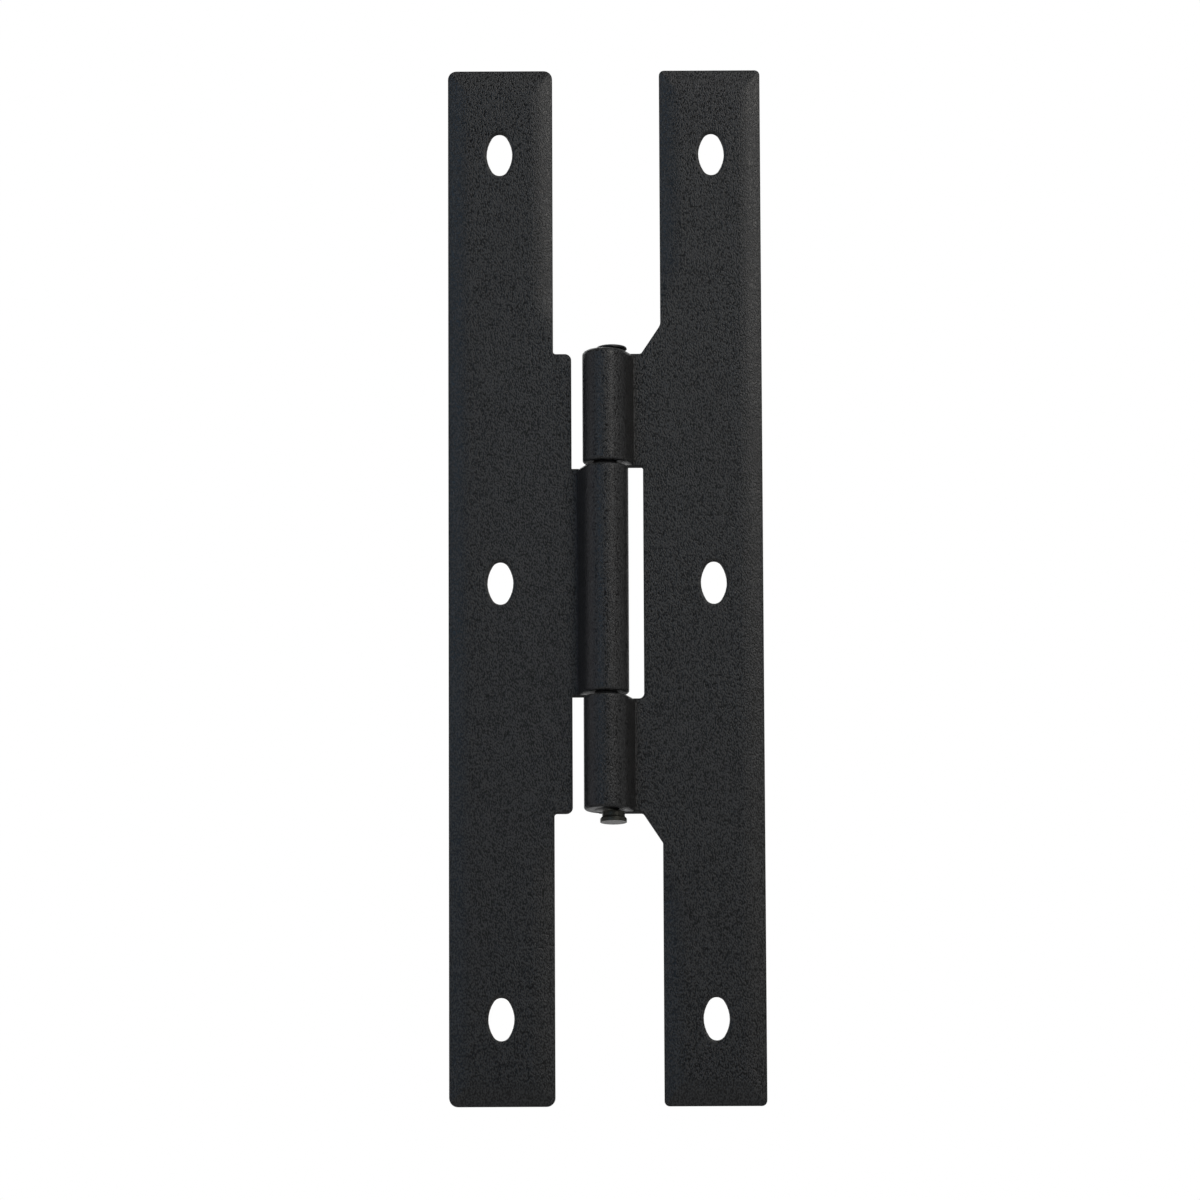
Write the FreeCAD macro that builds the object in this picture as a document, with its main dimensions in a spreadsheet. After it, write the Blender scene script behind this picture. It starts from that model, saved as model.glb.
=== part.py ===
import FreeCAD, Part
import math
import os

import Sketcher

doc = FreeCAD.newDocument("h_hinge")
sheet = doc.addObject("Spreadsheet::Sheet", "sizes")

# Driving dimensions in millimetres, with the roll's opening in degrees
dimensions = {
    "leaf_height": 178.0,  # both strips, top to bottom
    "leaf_reach": 26.55,  # pin axis to the outer edge of either strip
    "left_inner": 8.8,  # pin axis to the left strip's inner edge
    "right_inner": 9.4,  # pin axis to the right strip's inner edge
    "sheet_thickness": 1.8,
    "pin_diameter": 4.0,
    "pin_clearance": 0.05,  # all round the pin in its knuckles
    "tab_height": 78.8,  # both tabs, and the stack of three knuckles
    "left_tab_inner": 5.72,  # pin axis to the left tab's free edge
    "window_inner": 6.35,  # pin axis to the edge of the right leaf's window
    "middle_knuckle": 39.0,
    "knuckle_gap": 0.5,  # between one knuckle and the next
    "gusset_run": 3.3,  # sloped corner of the right tab, across the leaf
    "gusset_rise": 5.0,  # sloped corner of the right tab, along the strip
    "roll_opening": 20.0,  # where the roll stops curling and runs out straight
    "seam_gap": 0.12,  # between the end of a roll and the face of its leaf
    "left_slots": 17.8,  # pin axis to the middle of the left strip's slots
    "right_slots": 18.2,  # pin axis to the middle of the right strip's slots
    "slot_width": 4.35,
    "slot_length": 7.5,
    "slot_bulge": 0.65,  # how far a slot's sides swell past the radius of its ends
    "slot_pitch": 74.35,
    "slot_lip": 0.4,  # rounding that the punch leaves round a slot, on the face
    "side_border": 3.6,  # pressed border along a strip's long sides
    "end_border": 4.2,  # pressed border at a strip's ends
    "border_depth": 0.62,  # how far the borders fall away at the edge
    "border_fade": 10.0,  # length over which a border runs out beside a tab
    "left_corner": 1.5,
    "right_corner": 0.9,
    "tab_corner": 1.1,
    "step_corner": 0.45,  # where the left tab steps out of its strip
    "window_top_corner": 0.3,
    "window_foot_corner": 0.9,
    "gusset_bend": 2.0,  # where the upper gusset meets the strip
    "gusset_corner": 0.6,
    "pin_stand": 0.05,  # straight part of the pin outside its knuckles
    "pin_lean": 1.1,  # how far the upset ends are knocked towards the right leaf
    "pin_shift": 0.25,  # height over which an end leans
    "pin_head": 0.4,
    "pin_head_radius": 2.6,
    "pin_head_roundness": 0.85,  # share of the head's height that its rim is rounded over
    "pin_neck": 0.8,
    "pin_neck_radius": 1.9,
    "pin_flare": 0.4,
    "pin_foot": 0.6,
    "pin_foot_radius": 2.24,
    "cut_margin": 2.0,  # how far a cutting profile stands clear of the sheet
}

# Sizes that follow from the driving ones
derived = {
    "pin_radius": "=pin_diameter / 2",
    "bore_radius": "=pin_radius + pin_clearance",
    "barrel_radius": "=bore_radius + sheet_thickness",
    "half_height": "=leaf_height / 2",
    "half_tab": "=tab_height / 2",
    "half_middle": "=middle_knuckle / 2",
    "outer_knuckle_start": "=half_middle + knuckle_gap",
    "outer_knuckle": "=half_tab - outer_knuckle_start",
    "gusset_foot": "=right_inner - gusset_run",
    "gusset_end": "=half_tab + gusset_rise",
    "roll_run_depth": "=barrel_radius * sin(roll_opening * 1 deg)",
    "seam": "=bore_radius - seam_gap",
    "slot_half_width": "=slot_width / 2",
    "slot_half_length": "=slot_length / 2",
    "slot_end_radius": "=slot_half_width - slot_bulge",
    "slot_end_offset": "=slot_half_length - slot_end_radius",
    "slot_side_offset": "=(slot_end_offset^2 - slot_bulge^2) / (2 * slot_bulge)",
    "slot_side_radius": "=slot_side_offset + slot_half_width",
    "border_floor": "=bore_radius + border_depth",
    "side_border_radius": "=(side_border^2 + border_depth^2) / (2 * border_depth)",
    "end_border_radius": "=(end_border^2 + border_depth^2) / (2 * border_depth)",
    "cut_front": "=bore_radius - cut_margin",
    "cut_through": "=leaf_height + cut_margin",
    "pin_end": "=half_tab + pin_stand",
    "pin_shift_end": "=pin_end + pin_shift",
    "pin_head_end": "=pin_shift_end + pin_head",
    "pin_head_edge": "=pin_head * pin_head_roundness",
    "pin_neck_end": "=pin_shift_end + pin_neck",
    "pin_flare_end": "=pin_neck_end + pin_flare",
    "pin_foot_end": "=pin_flare_end + pin_foot",
}

for row, (alias, content) in enumerate({**dimensions, **derived}.items(), start=1):
    sheet.set(f"A{row}", alias)
    sheet.set(f"B{row}", str(content))
    sheet.setAlias(f"B{row}", alias)
doc.recompute()

MATCH = 1e-4
NORMAL = FreeCAD.Vector(0, 0, 1)
# Turns a sketch on the YZ plane so that it is drawn with Z across and Y up
ACROSS_Z = FreeCAD.Rotation(FreeCAD.Vector(1, 1, 0), 180)


def value(expression):
    result = sheet.evalExpression(expression)
    return float(getattr(result, "Value", result))


def spot(across, along):
    return FreeCAD.Vector(value(across), value(along), 0)


def origin_plane(body, role):
    return next(feature for feature in body.Origin.OriginFeatures if feature.Role == role)


def add_sketch(body, name, role, offset=None, turn=FreeCAD.Rotation()):
    sketch = body.newObject("Sketcher::SketchObject", name)
    sketch.AttachmentSupport = (origin_plane(body, role), [""])
    sketch.MapMode = "FlatFace"
    sketch.AttachmentOffset = FreeCAD.Placement(FreeCAD.Vector(), turn)
    if offset:
        sketch.setExpression("AttachmentOffset.Base.z", offset)
    return sketch


def constrain(sketch, kind, *arguments, size=None):
    # One constraint, bound to the sheet where it has a size
    if size is None:
        sketch.addConstraint(Sketcher.Constraint(kind, *arguments))
    else:
        index = sketch.addConstraint(Sketcher.Constraint(kind, *arguments, value(size)))
        sketch.setExpression(f"Constraints[{index}]", size)


def hold_point(sketch, geometry, position, across, along):
    constrain(sketch, "DistanceX", -1, 1, geometry, position, size=across)
    constrain(sketch, "DistanceY", -1, 1, geometry, position, size=along)


def add_line(sketch, start, end):
    return sketch.addGeometry(Part.LineSegment(spot(*start), spot(*end)), False)


def add_arc(sketch, centre, radius, first_angle, last_angle):
    circle = Part.Circle(spot(*centre), NORMAL, value(radius))
    return sketch.addGeometry(Part.ArcOfCircle(circle, first_angle, last_angle), False)


def join(sketch, lines):
    for line, following in zip(lines, lines[1:]):
        constrain(sketch, "Coincident", line, 2, following, 1)


def add_outline(sketch, corners):
    # A closed outline of straight lines, each corner held by the sheet
    lines = [add_line(sketch, *ends) for ends in zip(corners, corners[1:] + corners[:1])]
    join(sketch, lines + lines[:1])
    for line, corner in zip(lines, corners):
        hold_point(sketch, line, 1, *corner)


def add_circle(sketch, radius, across=None):
    circle = sketch.addGeometry(Part.Circle(spot(across or "0", "0"), NORMAL, value(radius)), False)
    constrain(sketch, "Radius", circle, size=radius)
    if across:
        constrain(sketch, "PointOnObject", circle, 3, -1)
        constrain(sketch, "DistanceX", -1, 1, circle, 3, size=across)
    else:
        constrain(sketch, "Coincident", circle, 3, -1, 1)


def add_pad(body, name, sketch, length, symmetric=False):
    pad = body.newObject("PartDesign::Pad", name)
    pad.Profile = sketch
    pad.SideType = "Symmetric" if symmetric else "One side"
    pad.setExpression("Length", length)
    doc.recompute()
    return pad


def settle_cut(cut, volume_before):
    # A cut has to take material away
    doc.recompute()
    if cut.Shape.Volume > volume_before - MATCH:
        raise ValueError(f"{cut.Label} cuts nothing")
    return cut


def add_pocket(body, name, sketch, length, symmetric=True):
    before = body.Tip.Shape.Volume
    pocket = body.newObject("PartDesign::Pocket", name)
    pocket.Profile = sketch
    pocket.SideType = "Symmetric" if symmetric else "One side"
    pocket.Reversed = not symmetric
    pocket.setExpression("Length", length)
    return settle_cut(pocket, before)


def add_mirror(body, name, originals):
    # The same features on the other side of mid height
    mirror = body.newObject("PartDesign::Mirrored", name)
    mirror.Originals = originals
    mirror.MirrorPlane = (origin_plane(body, "XY_Plane"), [""])
    body.Tip = mirror
    doc.recompute()


def round_corners(body, name, radius, corners):
    # Rounds the edges that run through the sheet at these corners of its outline
    base = body.Tip
    spots = [spot(*corner) for corner in corners]
    chosen = []
    for number, edge in enumerate(base.Shape.Edges, start=1):
        ends = [FreeCAD.Vector(vertex.X, vertex.Z, 0) for vertex in edge.Vertexes]
        if any(all(end.distanceToPoint(point) < MATCH for end in ends) for point in spots):
            chosen.append(f"Edge{number}")
    if len(chosen) != len(corners):
        raise ValueError(f"{name} found {len(chosen)} of {len(corners)} corners")
    fillet = body.newObject("PartDesign::Fillet", name)
    fillet.Base = (base, chosen)
    fillet.setExpression("Radius", radius)
    doc.recompute()


def add_blank(body, corners):
    # The flat sheet before rolling, its back level with the back of the barrel
    sketch = add_sketch(body, "blank_outline", "XZ_Plane", "-sizes.barrel_radius")
    add_outline(sketch, corners)
    add_pad(body, "blank", sketch, "sizes.sheet_thickness")


def add_roll(body, name, side, root, length, bottom=None):
    # A knuckle rolled from the sheet: behind the pin, round its free side, over the front, and straight back
    # to the face of the leaf. The leaf is on the right where side is positive.
    sign = "" if side > 0 else "-"
    opening = math.radians(value("sizes.roll_opening"))
    high, low = (1, 2) if side > 0 else (2, 1)
    angles = (math.pi / 2, 2 * math.pi - opening) if side > 0 else (math.pi + opening, 2.5 * math.pi)
    outside, inside = f"{sign}sizes.barrel_radius", f"{sign}sizes.bore_radius"
    sketch = add_sketch(body, f"{name}_profile", "XY_Plane", bottom)
    back = add_line(sketch, (root, "sizes.barrel_radius"), ("0", "sizes.barrel_radius"))
    outer_run = add_line(sketch, (outside, "-sizes.roll_run_depth"), (outside, "sizes.seam"))
    end = add_line(sketch, (outside, "sizes.seam"), (inside, "sizes.seam"))
    inner_run = add_line(sketch, (inside, "sizes.seam"), (inside, "-sizes.roll_run_depth"))
    front = add_line(sketch, ("0", "sizes.bore_radius"), (root, "sizes.bore_radius"))
    close = add_line(sketch, (root, "sizes.bore_radius"), (root, "sizes.barrel_radius"))
    outer_arc = add_arc(sketch, ("0", "0"), "sizes.barrel_radius", *angles)
    inner_arc = add_arc(sketch, ("0", "0"), "sizes.bore_radius", *angles)
    for arc in (outer_arc, inner_arc):
        constrain(sketch, "Coincident", arc, 3, -1, 1)
    join(sketch, [outer_run, end, inner_run])
    join(sketch, [front, close, back])
    constrain(sketch, "Tangent", back, 2, outer_arc, high)
    constrain(sketch, "Tangent", outer_arc, low, outer_run, 1)
    constrain(sketch, "Tangent", inner_run, 2, inner_arc, low)
    constrain(sketch, "Tangent", inner_arc, high, front, 1)
    for level in (back, end, front):
        constrain(sketch, "Horizontal", level)
    constrain(sketch, "Vertical", close)
    constrain(sketch, "Parallel", outer_run, inner_run)
    hold_point(sketch, close, 1, root, "sizes.bore_radius")
    constrain(sketch, "DistanceY", -1, 1, back, 1, size="sizes.barrel_radius")
    constrain(sketch, "DistanceY", -1, 1, end, 1, size="sizes.seam")
    constrain(sketch, "DistanceY", -1, 1, outer_run, 1, size="-sizes.roll_run_depth")
    return add_pad(body, name, sketch, length, symmetric=bottom is None)


def cut_slots(body, middle):
    # Three oval screw slots in a row down the middle of the strip, each of four arcs tangent to one another
    sketch = add_sketch(body, "slot_outlines", "XZ_Plane")
    turn = math.atan2(value("sizes.slot_end_offset"), value("sizes.slot_side_offset"))
    half = math.pi
    for row in ("-sizes.slot_pitch", "0", "sizes.slot_pitch"):
        top = (middle, f"{row} + sizes.slot_end_offset")
        foot = (middle, f"{row} - sizes.slot_end_offset")
        left = (f"{middle} - sizes.slot_side_offset", row)
        right = (f"{middle} + sizes.slot_side_offset", row)
        right_side = add_arc(sketch, left, "sizes.slot_side_radius", -turn, turn)
        upper_end = add_arc(sketch, top, "sizes.slot_end_radius", turn, half - turn)
        left_side = add_arc(sketch, right, "sizes.slot_side_radius", half - turn, half + turn)
        lower_end = add_arc(sketch, foot, "sizes.slot_end_radius", half + turn, 2 * half - turn)
        ring = [right_side, upper_end, left_side, lower_end]
        for arc, following in zip(ring, ring[1:] + ring[:1]):
            constrain(sketch, "Tangent", arc, 2, following, 1)
        hold_point(sketch, upper_end, 3, *top)
        hold_point(sketch, lower_end, 3, *foot)
        constrain(sketch, "Radius", upper_end, size="sizes.slot_end_radius")
        constrain(sketch, "Radius", right_side, size="sizes.slot_side_radius")
        constrain(sketch, "Equal", upper_end, lower_end)
        constrain(sketch, "Equal", right_side, left_side)
    slots = add_pocket(body, "slots", sketch, "sizes.cut_through")

    # The rims on the face, rounded where the punch drew the sheet in
    face = value("sizes.bore_radius")
    radii = [value("sizes.slot_end_radius"), value("sizes.slot_side_radius")]
    rims = []
    for number, edge in enumerate(slots.Shape.Edges, start=1):
        on_face = all(abs(vertex.Y - face) < MATCH for vertex in edge.Vertexes)
        if on_face and isinstance(edge.Curve, Part.Circle):
            if min(abs(edge.Curve.Radius - radius) for radius in radii) < MATCH:
                rims.append(f"Edge{number}")
    lips = body.newObject("PartDesign::Fillet", "slot_lips")
    lips.Base = (slots, rims)
    lips.setExpression("Radius", "sizes.slot_lip")
    settle_cut(lips, slots.Shape.Volume)


def draw_border(sketch, edge, outward, width):
    # What the press takes off along one edge of the face: a long round that leaves the flat without a line
    # and is steepest at the edge. Drawn with the leaf's width across and its thickness up.
    sign, back = ("+", "-") if outward > 0 else ("-", "+")
    start, clear = f"{edge} {back} {width}", f"{edge} {sign} sizes.cut_margin"
    radius = f"{width}_radius"
    centre = (start, f"sizes.bore_radius + {radius}")
    sweep = math.asin(value(width) / value(radius))
    down = 1.5 * math.pi
    near, far = (1, 2) if outward > 0 else (2, 1)
    angles = (down, down + sweep) if outward > 0 else (down - sweep, down)
    wall = add_line(sketch, (start, "sizes.cut_front"), (start, "sizes.bore_radius"))
    bend = add_arc(sketch, centre, radius, *angles)
    ledge = add_line(sketch, (edge, "sizes.border_floor"), (clear, "sizes.border_floor"))
    rise = add_line(sketch, (clear, "sizes.border_floor"), (clear, "sizes.cut_front"))
    lid = add_line(sketch, (clear, "sizes.cut_front"), (start, "sizes.cut_front"))
    join(sketch, [ledge, rise, lid, wall])
    constrain(sketch, "Coincident", wall, 2, bend, near)
    constrain(sketch, "Coincident", bend, far, ledge, 1)
    hold_point(sketch, wall, 1, start, "sizes.cut_front")
    hold_point(sketch, wall, 2, start, "sizes.bore_radius")
    hold_point(sketch, bend, 3, *centre)
    constrain(sketch, "DistanceX", -1, 1, ledge, 1, size=edge)
    hold_point(sketch, rise, 1, clear, "sizes.border_floor")
    hold_point(sketch, rise, 2, clear, "sizes.cut_front")


def press_borders(body, side, inner, fade_end):
    # Pressed borders round the strip's face: all of the outer side, both ends, and the free arms on the inner
    # side, where the border runs out before the tab. Returns the features that mid height repeats.
    sign, other = ("", "-") if side > 0 else ("-", "")
    outer_sketch = add_sketch(body, "outer_border_profile", "XY_Plane")
    draw_border(outer_sketch, f"{sign}sizes.leaf_reach", side, "sizes.side_border")
    add_pocket(body, "outer_border", outer_sketch, "sizes.cut_through")

    end_sketch = add_sketch(body, "end_border_profile", "YZ_Plane", turn=ACROSS_Z)
    draw_border(end_sketch, "sizes.half_height", 1, "sizes.end_border")
    end_border = add_pocket(body, "end_border", end_sketch, "sizes.cut_through")

    arm_start = f"{fade_end} + sizes.border_fade"
    arm_sketch = add_sketch(body, "arm_border_profile", "XY_Plane", arm_start)
    draw_border(arm_sketch, f"{sign}{inner}", -side, "sizes.side_border")
    arm_border = add_pocket(body, "arm_border", arm_sketch, "sizes.half_height", symmetric=False)

    fade_sketch = add_sketch(body, "fade_profile", "XY_Plane", fade_end)
    draw_border(fade_sketch, f"{sign}({inner} - sizes.side_border)", -side, "sizes.side_border")
    before = body.Tip.Shape.Volume
    fade = body.newObject("PartDesign::SubtractiveLoft", "border_fade")
    fade.Profile = arm_sketch
    fade.Sections = [(fade_sketch, [""])]
    fade.Ruled = True
    return [end_border, arm_border, settle_cut(fade, before)]


def make_left_leaf():
    body = doc.addObject("PartDesign::Body", "left_leaf")
    edge, inner = "-sizes.leaf_reach", "-sizes.left_inner"
    tab, root = "-sizes.left_tab_inner", "-sizes.bore_radius"
    ends = [(edge, "-sizes.half_height"), (inner, "-sizes.half_height")]
    ends += [(inner, "sizes.half_height"), (edge, "sizes.half_height")]
    foot_corner, top_corner = (tab, "-sizes.half_tab"), (tab, "sizes.half_tab")
    tongue = [(tab, "-sizes.half_middle"), (root, "-sizes.half_middle")]
    tongue += [(root, "sizes.half_middle"), (tab, "sizes.half_middle")]
    foot_step, top_step = (inner, "-sizes.half_tab"), (inner, "sizes.half_tab")
    add_blank(body, [*ends[:2], foot_step, foot_corner, *tongue, top_corner, top_step, *ends[2:]])
    round_corners(body, "strip_corners", "sizes.left_corner", ends)
    round_corners(body, "tab_corners", "sizes.tab_corner", [foot_corner, top_corner])
    round_corners(body, "step_corners", "sizes.step_corner", [foot_step, top_step])
    add_roll(body, "middle_roll", -1, inner, "sizes.middle_knuckle")
    cut_slots(body, "-sizes.left_slots")
    repeated = press_borders(body, -1, "sizes.left_inner", "sizes.half_tab")
    add_mirror(body, "lower_half", repeated)
    return body


def make_right_leaf():
    body = doc.addObject("PartDesign::Body", "right_leaf")
    edge, inner = "sizes.leaf_reach", "sizes.right_inner"
    window, root = "sizes.window_inner", "sizes.bore_radius"
    ends = [(edge, "-sizes.half_height"), (edge, "sizes.half_height")]
    ends += [(inner, "sizes.half_height"), (inner, "-sizes.half_height")]
    top_gusset = [(inner, "sizes.gusset_end"), ("sizes.gusset_foot", "sizes.half_tab")]
    foot_gusset = [("sizes.gusset_foot", "-sizes.half_tab"), (inner, "-sizes.gusset_end")]
    window_top, window_foot = (window, "sizes.outer_knuckle_start"), (window, "-sizes.outer_knuckle_start")
    top_tongue = [(root, "sizes.half_tab"), (root, "sizes.outer_knuckle_start")]
    foot_tongue = [(root, "-sizes.outer_knuckle_start"), (root, "-sizes.half_tab")]
    step = [*top_gusset, *top_tongue, window_top, window_foot, *foot_tongue, *foot_gusset]
    add_blank(body, [*ends[:3], *step, ends[3]])
    round_corners(body, "strip_corners", "sizes.right_corner", ends)
    round_corners(body, "top_gusset_bend", "sizes.gusset_bend", top_gusset[:1])
    round_corners(body, "gusset_corners", "sizes.gusset_corner", [*top_gusset[1:], *foot_gusset])
    round_corners(body, "window_top_bend", "sizes.window_top_corner", [window_top])
    round_corners(body, "window_foot_bend", "sizes.window_foot_corner", [window_foot])
    roll = add_roll(body, "upper_roll", 1, inner, "sizes.outer_knuckle", "sizes.outer_knuckle_start")
    cut_slots(body, "sizes.right_slots")
    repeated = press_borders(body, 1, "sizes.right_inner", "sizes.gusset_end")
    add_mirror(body, "lower_half", [roll, *repeated])
    return body


def add_pin_end(body, name, sections):
    # An upset end of the pin, as round sections from the knuckle outwards
    sketches = []
    for number, (height, radius, across) in enumerate(sections):
        sketch = add_sketch(body, f"{name}_section_{number}", "XY_Plane", height)
        add_circle(sketch, radius, across)
        sketches.append(sketch)
    loft = body.newObject("PartDesign::AdditiveLoft", name)
    loft.Profile = sketches[0]
    loft.Sections = [(sketch, [""]) for sketch in sketches[1:]]
    loft.Ruled = True
    doc.recompute()


def make_hinge_pin():
    body = doc.addObject("PartDesign::Body", "hinge_pin")
    shank_sketch = add_sketch(body, "shank_outline", "XY_Plane")
    add_circle(shank_sketch, "sizes.pin_radius")
    add_pad(body, "shank", shank_sketch, "2 * sizes.pin_end", symmetric=True)
    lean = "sizes.pin_lean"
    add_pin_end(body, "head", [
        ("sizes.pin_end", "sizes.pin_radius", None),
        ("sizes.pin_shift_end", "sizes.pin_head_radius", lean),
        ("sizes.pin_head_end", "sizes.pin_head_radius", lean),
    ])
    add_pin_end(body, "tail", [
        ("-sizes.pin_end", "sizes.pin_radius", None),
        ("-sizes.pin_shift_end", "sizes.pin_neck_radius", lean),
        ("-sizes.pin_neck_end", "sizes.pin_neck_radius", lean),
        ("-sizes.pin_flare_end", "sizes.pin_foot_radius", lean),
        ("-sizes.pin_foot_end", "sizes.pin_foot_radius", lean),
    ])
    base = body.Tip
    top = value("sizes.pin_head_end")
    rim = [f"Edge{number}" for number, edge in enumerate(base.Shape.Edges, start=1)
           if all(abs(vertex.Z - top) < MATCH for vertex in edge.Vertexes)]
    fillet = body.newObject("PartDesign::Fillet", "head_edge")
    fillet.Base = (base, rim)
    fillet.setExpression("Radius", "sizes.pin_head_edge")
    doc.recompute()
    return body


bodies = [make_left_leaf(), make_right_leaf(), make_hinge_pin()]
doc.recompute()

for item in doc.Objects:
    if {"Invalid", "Error"} & set(item.State):
        raise ValueError(f"{item.Label} failed: {item.State}")
for body in bodies:
    if body.Shape.isNull() or not body.Shape.isValid() or len(body.Shape.Solids) != 1:
        raise ValueError(f"{body.Label} is not one sound solid")

os.makedirs("parts", exist_ok=True)
for body in bodies:
    body.Shape.exportStep(f"parts/{body.Label}.step")
    print(body.Label, round(body.Shape.Volume, 1), body.Shape.BoundBox)
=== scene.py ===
import math

import bpy
from mathutils import Matrix, Vector


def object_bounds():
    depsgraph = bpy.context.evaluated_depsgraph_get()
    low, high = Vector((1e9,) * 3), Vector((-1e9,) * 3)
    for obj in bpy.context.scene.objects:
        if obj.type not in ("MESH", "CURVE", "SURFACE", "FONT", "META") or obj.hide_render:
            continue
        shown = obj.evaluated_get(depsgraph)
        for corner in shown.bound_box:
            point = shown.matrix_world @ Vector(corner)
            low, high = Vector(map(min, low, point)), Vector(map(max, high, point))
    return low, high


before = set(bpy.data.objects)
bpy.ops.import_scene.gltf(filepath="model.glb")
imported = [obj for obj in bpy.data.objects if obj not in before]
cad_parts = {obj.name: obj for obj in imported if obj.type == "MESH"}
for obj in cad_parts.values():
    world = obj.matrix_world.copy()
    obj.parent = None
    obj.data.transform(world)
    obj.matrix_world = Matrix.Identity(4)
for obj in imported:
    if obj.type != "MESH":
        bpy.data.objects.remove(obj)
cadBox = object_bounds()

mm = 0.001
scene = bpy.context.scene
scene.view_settings.view_transform = "Standard"
print("frame loaded:", ", ".join(sorted(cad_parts)))


# shader helpers

def addNode(tree, kind, **settings):
    node = tree.nodes.new(kind)
    for name, setting in settings.items():
        setattr(node, name, setting)
    return node


def feed(tree, target, socket, source):
    # a link where the source is a socket, a plain value where it isn't
    if isinstance(source, bpy.types.NodeSocket):
        tree.links.new(source, target.inputs[socket])
    else:
        target.inputs[socket].default_value = source


def calc(tree, operation, *sources):
    node = addNode(tree, "ShaderNodeMath", operation=operation)
    for socket, source in enumerate(sources):
        feed(tree, node, socket, source)
    return node.outputs[0]


def remap(tree, value, fromLow, fromHigh, toLow, toHigh):
    node = addNode(tree, "ShaderNodeMapRange", interpolation_type="SMOOTHSTEP")
    for socket, source in enumerate((value, fromLow, fromHigh, toLow, toHigh)):
        feed(tree, node, socket, source)
    return node.outputs[0]


def blend(tree, factor, first, second):
    node = addNode(tree, "ShaderNodeMix", data_type="RGBA")
    feed(tree, node, "Factor", factor)
    feed(tree, node, 6, first)
    feed(tree, node, 7, second)
    return node.outputs[2]


def startGroup(name, inputs, outputs):
    tree = bpy.data.node_groups.new(name, "ShaderNodeTree")
    for label, default in inputs.items():
        socket = tree.interface.new_socket(label, in_out="INPUT", socket_type="NodeSocketFloat")
        socket.default_value = default
    for label in outputs:
        tree.interface.new_socket(label, in_out="OUTPUT", socket_type="NodeSocketFloat")
    return tree, addNode(tree, "NodeGroupInput").outputs, addNode(tree, "NodeGroupOutput")


def placeGroup(tree, group, **values):
    node = addNode(tree, "ShaderNodeGroup", node_tree=group)
    for label, value in values.items():
        feed(tree, node, label, value)
    return node.outputs


def startMaterial(name):
    material = bpy.data.materials.new(name)
    material.use_nodes = True
    tree = material.node_tree
    return material, tree, tree.nodes["Principled BSDF"]


def roughNormal(tree, coat, height):
    # edges that the coat has softened, and its grain on top
    soft = addNode(tree, "ShaderNodeBevel", samples=6)
    feed(tree, soft, "Radius", coat["edgeRadius"] * mm)
    bump = addNode(tree, "ShaderNodeBump")
    feed(tree, bump, "Strength", coat["bumpStrength"])
    feed(tree, bump, "Distance", coat["bumpDepth"] * mm)
    feed(tree, bump, "Height", height)
    feed(tree, bump, "Normal", soft.outputs[0])
    return bump.outputs[0]


# groups shared by the coating and the bare steel

def makeGrainGroup():
    # fine grain a fraction of a millimetre across, longer along the pin than across it
    inputs = {"Size": 0.4, "Stretch": 1.5, "Sharpness": 0.5}
    tree, given, out = startGroup("fineGrain", inputs, ["Grain", "Patch"])
    place = addNode(tree, "ShaderNodeTexCoord").outputs["Object"]
    squeeze = addNode(tree, "ShaderNodeCombineXYZ")
    feed(tree, squeeze, 0, 1.0)
    feed(tree, squeeze, 1, 1.0)
    feed(tree, squeeze, 2, calc(tree, "DIVIDE", 1.0, given["Stretch"]))
    stretched = addNode(tree, "ShaderNodeVectorMath", operation="MULTIPLY")
    feed(tree, stretched, 0, place)
    feed(tree, stretched, 1, squeeze.outputs[0])
    perMetre = calc(tree, "DIVIDE", 1.0, calc(tree, "MULTIPLY", given["Size"], mm))
    fine = addNode(tree, "ShaderNodeTexNoise")
    feed(tree, fine, "Vector", stretched.outputs[0])
    feed(tree, fine, "Scale", perMetre)
    feed(tree, fine, "Detail", 1.0)
    half = calc(tree, "MULTIPLY", calc(tree, "SUBTRACT", 1.0, given["Sharpness"]), 0.5)
    low = calc(tree, "SUBTRACT", 0.5, half)
    high = calc(tree, "ADD", 0.5, half)
    feed(tree, out, "Grain", remap(tree, fine.outputs[0], low, high, 0.0, 1.0))
    broad = addNode(tree, "ShaderNodeTexNoise")
    feed(tree, broad, "Vector", place)
    feed(tree, broad, "Scale", calc(tree, "DIVIDE", perMetre, 16.0))  # patches of sixteen grains
    feed(tree, broad, "Detail", 2.0)
    feed(tree, out, "Patch", broad.outputs[0])
    return tree


fineGrain = makeGrainGroup()
print("shared groups made")


# powder coat of the two leaves

leafCoat = {
    "grainSize": 0.21,  # millimetres
    "grainStretch": 1.85,
    "grainSharpness": 0.7,
    "patchShare": 0.15,  # how much broad patches count beside the grain
    "darkTone": (0.0004, 0.0004, 0.0005, 1),
    "lightTone": (0.0265, 0.0265, 0.0265, 1),
    "darkRoughness": 0.29,
    "lightRoughness": 0.43,
    "gloss": 0.215,
    "bumpStrength": 0.6,
    "bumpDepth": 0.05,  # millimetres
    "edgeRadius": 0.42,
    "faceLevel": 2.05,  # from the pin's axis back to the face of the sheet
    "faceMargin": 0.05,
    # painted shade: edges and slot walls made dark, and dull, where they lie in shade
    "wallShadeTone": (0.0012, 0.0012, 0.0013, 1),
    "wallShadeRoughness": 0.9,
}


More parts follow.
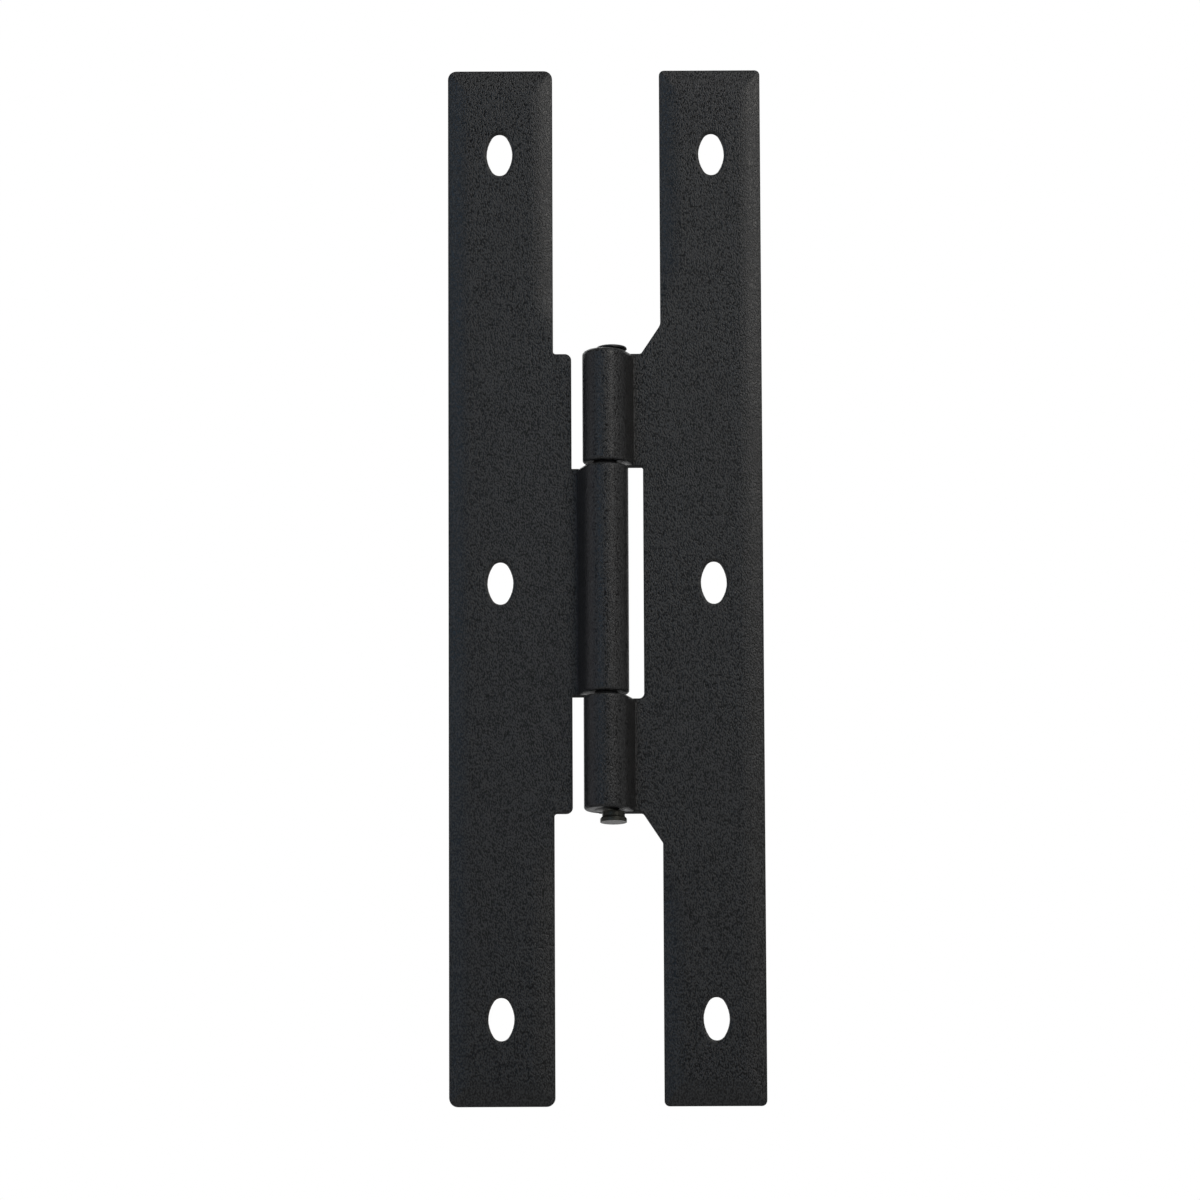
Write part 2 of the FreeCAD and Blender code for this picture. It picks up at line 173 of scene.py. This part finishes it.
def wallShadeEdge(tree):
    # edges and slot walls, which face sideways and lie within the sheet: the mask for the painted shade that
    # darkens them
    spots = addNode(tree, "ShaderNodeTexCoord").outputs
    facing = addNode(tree, "ShaderNodeSeparateXYZ")
    feed(tree, facing, 0, spots["Normal"])
    place = addNode(tree, "ShaderNodeSeparateXYZ")
    feed(tree, place, 0, spots["Object"])
    level, margin = leafCoat["faceLevel"] * mm, leafCoat["faceMargin"] * mm
    sideways = remap(tree, calc(tree, "ABSOLUTE", facing.outputs["Y"]), 0.15, 0.5, 1.0, 0.0)
    inSheet = remap(tree, place.outputs["Y"], level - margin, level + margin, 0.0, 1.0)
    return calc(tree, "MULTIPLY", sideways, inSheet)


def makeLeafCoat():
    material, tree, shader = startMaterial("powderCoat")
    grain = placeGroup(tree, fineGrain, Size=leafCoat["grainSize"], Stretch=leafCoat["grainStretch"],
                       Sharpness=leafCoat["grainSharpness"])
    patches = calc(tree, "MULTIPLY", grain["Patch"], leafCoat["patchShare"])
    specks = calc(tree, "MULTIPLY", grain["Grain"], 1 - leafCoat["patchShare"])
    mixed = calc(tree, "ADD", specks, patches)
    face = blend(tree, mixed, leafCoat["darkTone"], leafCoat["lightTone"])
    # edges and slot walls given painted shade
    wallShade = wallShadeEdge(tree)
    feed(tree, shader, "Base Color", blend(tree, wallShade, face, leafCoat["wallShadeTone"]))
    dull = remap(tree, grain["Grain"], 0.0, 1.0, leafCoat["darkRoughness"], leafCoat["lightRoughness"])
    feed(tree, shader, "Roughness", remap(tree, wallShade, 0.0, 1.0, dull, leafCoat["wallShadeRoughness"]))
    feed(tree, shader, "Specular IOR Level", leafCoat["gloss"])
    feed(tree, shader, "Normal", roughNormal(tree, leafCoat, grain["Grain"]))
    return material


# pin, coated like the leaves down to its bare tail

pinSteel = {
    "grainSize": 0.5,
    "grainStretch": 1.0,
    "grainSharpness": 0.2,
    "coatTone": (0.006, 0.0062, 0.0065, 1),
    "neckDark": (0.004, 0.004, 0.003, 1),
    "neckLight": (0.045, 0.045, 0.036, 1),
    "footTone": (0.11, 0.11, 0.105, 1),  # cut end of the tail
    "tailStart": -39.5,  # millimetres up the pin
    "tailMargin": 0.1,
    "roughLow": 0.35,
    "roughHigh": 0.55,
    "gloss": 0.30,
    "metal": 0.6,
    "bumpStrength": 0.4,
    "bumpDepth": 0.05,
    "edgeRadius": 0.12,
}


def makePinSteel():
    material, tree, shader = startMaterial("pinSteel")
    grain = placeGroup(tree, fineGrain, Size=pinSteel["grainSize"], Stretch=pinSteel["grainStretch"],
                       Sharpness=pinSteel["grainSharpness"])
    spots = addNode(tree, "ShaderNodeTexCoord").outputs
    facing = addNode(tree, "ShaderNodeSeparateXYZ")
    feed(tree, facing, 0, spots["Normal"])
    place = addNode(tree, "ShaderNodeSeparateXYZ")
    feed(tree, place, 0, spots["Object"])
    start, margin = pinSteel["tailStart"] * mm, pinSteel["tailMargin"] * mm
    bare = remap(tree, place.outputs["Z"], start - margin, start + margin, 1.0, 0.0)
    cut = remap(tree, facing.outputs["Z"], -0.95, -0.6, 1.0, 0.0)  # where it faces down
    neck = blend(tree, grain["Patch"], pinSteel["neckDark"], pinSteel["neckLight"])
    tail = blend(tree, cut, neck, pinSteel["footTone"])
    feed(tree, shader, "Base Color", blend(tree, bare, pinSteel["coatTone"], tail))
    dull = remap(tree, grain["Grain"], 0.0, 1.0, pinSteel["roughHigh"], pinSteel["roughLow"])
    feed(tree, shader, "Roughness", dull)
    feed(tree, shader, "Metallic", calc(tree, "MULTIPLY", bare, pinSteel["metal"]))
    feed(tree, shader, "Specular IOR Level", pinSteel["gloss"])
    feed(tree, shader, "Normal", roughNormal(tree, pinSteel, grain["Grain"]))
    return material


def finishNode(name, material):
    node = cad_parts[name]
    node.data.materials.clear()
    node.data.materials.append(material)
    return node


# ends of the knuckles, rounded as the photo shows them

knuckleEnds = {
    "radius": 0.45,  # millimetres
    "topRadius": 0.8,  # the uppermost end is rounder than the others
    "topStart": 36.0,
    "segments": 5,
    "middle": 4.0,  # from the pin's axis to the outer edges of a roll
    "spread": 0.3,
    "back": 3.5,  # edges behind this level belong to the sheet
    "sheetStart": 5.4,
    "join": 0.001,
    "angle": 60,  # degrees, from here an edge counts as sharp
}


def makeEdgeFinder():
    # joins the faces of each roll and marks the outer edges at its ends
    tree = bpy.data.node_groups.new("knuckleEnds", "GeometryNodeTree")
    for side in ("INPUT", "OUTPUT"):
        tree.interface.new_socket("Geometry", in_out=side, socket_type="NodeSocketGeometry")
    given, out = addNode(tree, "NodeGroupInput").outputs[0], addNode(tree, "NodeGroupOutput")
    place = addNode(tree, "GeometryNodeInputPosition").outputs[0]
    across = addNode(tree, "ShaderNodeVectorMath", operation="MULTIPLY")
    feed(tree, across, 0, place)
    feed(tree, across, 1, (1, 1, 0))
    away = addNode(tree, "ShaderNodeVectorMath", operation="LENGTH")
    feed(tree, away, 0, across.outputs[0])
    fromPin = away.outputs["Value"]
    parts = addNode(tree, "ShaderNodeSeparateXYZ")
    feed(tree, parts, 0, place)
    joined = addNode(tree, "GeometryNodeMergeByDistance")
    feed(tree, joined, "Geometry", given)
    feed(tree, joined, "Selection", calc(tree, "LESS_THAN", fromPin, knuckleEnds["sheetStart"] * mm))
    feed(tree, joined, "Distance", knuckleEnds["join"] * mm)
    bend = addNode(tree, "GeometryNodeInputMeshEdgeAngle").outputs["Unsigned Angle"]
    sharp = calc(tree, "GREATER_THAN", bend, math.radians(knuckleEnds["angle"]))
    onRoll = calc(tree, "COMPARE", fromPin, knuckleEnds["middle"] * mm, knuckleEnds["spread"] * mm)
    inFront = calc(tree, "LESS_THAN", parts.outputs["Y"], knuckleEnds["back"] * mm)
    atTop = calc(tree, "GREATER_THAN", parts.outputs["Z"], knuckleEnds["topStart"] * mm)
    share = remap(tree, atTop, 0.0, 1.0, knuckleEnds["radius"] / knuckleEnds["topRadius"], 1.0)
    rounded = calc(tree, "MULTIPLY", calc(tree, "MULTIPLY", onRoll, inFront), sharp)
    crease = addNode(tree, "GeometryNodeStoreNamedAttribute", data_type="BOOLEAN", domain="EDGE")
    feed(tree, crease, "Geometry", joined.outputs[0])
    feed(tree, crease, "Name", "sharp_edge")
    feed(tree, crease, "Value", sharp)
    mark = addNode(tree, "GeometryNodeStoreNamedAttribute", data_type="FLOAT", domain="EDGE")
    feed(tree, mark, "Geometry", crease.outputs[0])
    feed(tree, mark, "Name", "bevel_weight_edge")
    feed(tree, mark, "Value", calc(tree, "MULTIPLY", rounded, share))
    feed(tree, out, 0, mark.outputs[0])
    return tree


def roundKnuckles(node, finder):
    node.modifiers.new("knuckleEnds", "NODES").node_group = finder
    edge = node.modifiers.new("roundEnds", "BEVEL")
    edge.width = knuckleEnds["topRadius"] * mm
    edge.segments = knuckleEnds["segments"]
    edge.limit_method = "WEIGHT"
    edge.use_clamp_overlap = False


coat = makeLeafCoat()
steel = makePinSteel()
finder = makeEdgeFinder()
for leaf in ("left_leaf", "right_leaf"):
    roundKnuckles(finishNode(leaf, coat), finder)
finishNode("hinge_pin", steel)
print("leaves and pin coated")


# studio

studio = {
    "floorTone": (0.82, 0.82, 0.82, 1),
    "floorSize": 12.0,  # metres
    "floorDrop": 0.1,  # millimetres under the hinge
    "paleness": 0.5,  # share of white near the hinge
    "fadeStart": 0.2,
    "fadeEnd": 0.95,
    "roomFront": 0.045,  # dim room behind the camera
    "roomBack": 0.15,  # light that the white backdrop throws
    "backdropStart": -0.45,  # how far round the backdrop reaches, as a direction's share of Y
    "backdropFull": 0.1,
}


def makeFloor():
    low = cadBox[0].z - studio["floorDrop"] * mm
    half = studio["floorSize"] / 2
    mesh = bpy.data.meshes.new("floor")
    corners = [(-half, -half, low), (half, -half, low), (half, half, low), (-half, half, low)]
    mesh.from_pydata(corners, [], [(0, 1, 2, 3)])
    floor = bpy.data.objects.new("floor", mesh)
    scene.collection.objects.link(floor)
    material, tree, shader = startMaterial("paleFloor")
    feed(tree, shader, "Base Color", studio["floorTone"])
    feed(tree, shader, "Roughness", 0.9)
    feed(tree, shader, "Specular IOR Level", 0.0)
    # paler to the eye than its lamps make it, white far away so that no horizon shows,
    # and open from below
    away = addNode(tree, "ShaderNodeVectorMath", operation="LENGTH")
    feed(tree, away, 0, addNode(tree, "ShaderNodeTexCoord").outputs["Object"])
    fade = remap(tree, away.outputs["Value"], studio["fadeStart"], studio["fadeEnd"], studio["paleness"], 1.0)
    far = calc(tree, "MULTIPLY", fade, backgroundRays(tree))
    white = addNode(tree, "ShaderNodeEmission")
    clear = addNode(tree, "ShaderNodeBsdfTransparent")
    distant = addNode(tree, "ShaderNodeMixShader")
    feed(tree, distant, 0, far)
    feed(tree, distant, 1, shader.outputs[0])
    feed(tree, distant, 2, white.outputs[0])
    under = addNode(tree, "ShaderNodeMixShader")
    feed(tree, under, 0, addNode(tree, "ShaderNodeNewGeometry").outputs["Backfacing"])
    feed(tree, under, 1, distant.outputs[0])
    feed(tree, under, 2, clear.outputs[0])
    feed(tree, tree.nodes["Material Output"], "Surface", under.outputs[0])
    mesh.materials.append(material)


def backgroundRays(tree):
    rays = addNode(tree, "ShaderNodeLightPath").outputs
    seen = calc(tree, "MAXIMUM", rays["Is Glossy Ray"], rays["Is Transmission Ray"])
    return calc(tree, "MAXIMUM", rays["Is Camera Ray"], seen)


def makeWorld():
    world = bpy.data.worlds.new("studio")
    scene.world = world
    world.use_nodes = True
    tree = world.node_tree
    tree.nodes.clear()
    rays = addNode(tree, "ShaderNodeLightPath").outputs
    toward = addNode(tree, "ShaderNodeSeparateXYZ")
    feed(tree, toward, 0, addNode(tree, "ShaderNodeTexCoord").outputs["Generated"])
    # a shine sees the white backdrop behind the hinge, and all else the room's own light
    behind = remap(tree, toward.outputs["Y"], studio["backdropStart"], studio["backdropFull"], 0.0, 1.0)
    room = remap(tree, behind, 0.0, 1.0, studio["roomFront"], studio["roomBack"])
    shine = calc(tree, "MAXIMUM", rays["Is Glossy Ray"], rays["Is Transmission Ray"])
    seen = calc(tree, "MAXIMUM", rays["Is Camera Ray"], calc(tree, "MULTIPLY", shine, behind))
    lit = calc(tree, "MAXIMUM", seen, room)
    background = addNode(tree, "ShaderNodeBackground")
    feed(tree, background, "Color", (1, 1, 1, 1))
    feed(tree, background, "Strength", lit)
    output = addNode(tree, "ShaderNodeOutputWorld")
    feed(tree, output, "Surface", background.outputs[0])


softboxes = {
    "key": {"turn": 31, "rise": 26, "away": 0.62, "size": 0.23, "power": 1.65, "tint": (1.0, 0.975, 0.94)},
    "cool": {"turn": -30, "rise": 16, "away": 1.0, "size": 0.4, "power": 1.55, "tint": (0.52, 0.74, 1.0)},
    "top": {"turn": 25, "rise": 50, "away": 0.75, "size": 0.25, "power": 1.3, "tint": (1.0, 1.0, 1.0)},
    "left": {"turn": -75, "rise": 8, "away": 1.0, "size": 0.5, "power": 0.55, "tint": (0.85, 0.8, 1.0)},
    "rear": {"turn": 200, "rise": 35, "away": 1.1, "size": 0.6, "power": 3.0, "tint": (1.0, 1.0, 1.0)},
}


def fromFront(turn, rise):
    # turn is to the right of the hinge's face, rise above it, in degrees
    turn, rise = math.radians(turn), math.radians(rise)
    return Vector((math.sin(turn) * math.cos(rise), -math.cos(turn) * math.cos(rise), math.sin(rise)))


def makeSoftbox(name, box):
    light = bpy.data.lights.new(name, "AREA")
    light.shape = "DISK"
    light.size = box["size"]
    light.energy = box["power"]
    light.color = box["tint"]
    lamp = bpy.data.objects.new(name, light)
    direction = fromFront(box["turn"], box["rise"])
    lamp.location = direction * box["away"]
    lamp.rotation_mode = "QUATERNION"
    lamp.rotation_quaternion = direction.to_track_quat("Z", "Y")
    scene.collection.objects.link(lamp)


makeFloor()
makeWorld()
for name, box in softboxes.items():
    makeSoftbox(name, box)
print("floor, room and softboxes set")


# camera, a little below the middle of the hinge

view = {
    "rise": -11.28,
    "roll": -0.25,
    "away": 1.585,
    "lens": 282.4,
    "sensor": 36.0,
    "aside": 1.00,  # millimetres from the pin to the middle of the picture
    "below": 3.45,
}


def makeCamera():
    back = fromFront(0, view["rise"])
    turn = back.to_track_quat("Z", "Y").to_matrix()
    turn = turn @ Matrix.Rotation(math.radians(view["roll"]), 3, "Z")
    right, up = turn.col[0], turn.col[1]
    data = bpy.data.cameras.new("camera")
    data.sensor_width = view["sensor"]
    data.lens = view["lens"]
    data.clip_start = 0.01
    camera = bpy.data.objects.new("camera", data)
    spot = back * view["away"] - right * view["aside"] * mm - up * view["below"] * mm
    camera.matrix_world = Matrix.LocRotScale(spot, turn.to_quaternion(), None)
    scene.collection.objects.link(camera)
    scene.camera = camera


makeCamera()
print("camera set")

bpy.context.view_layer.update()
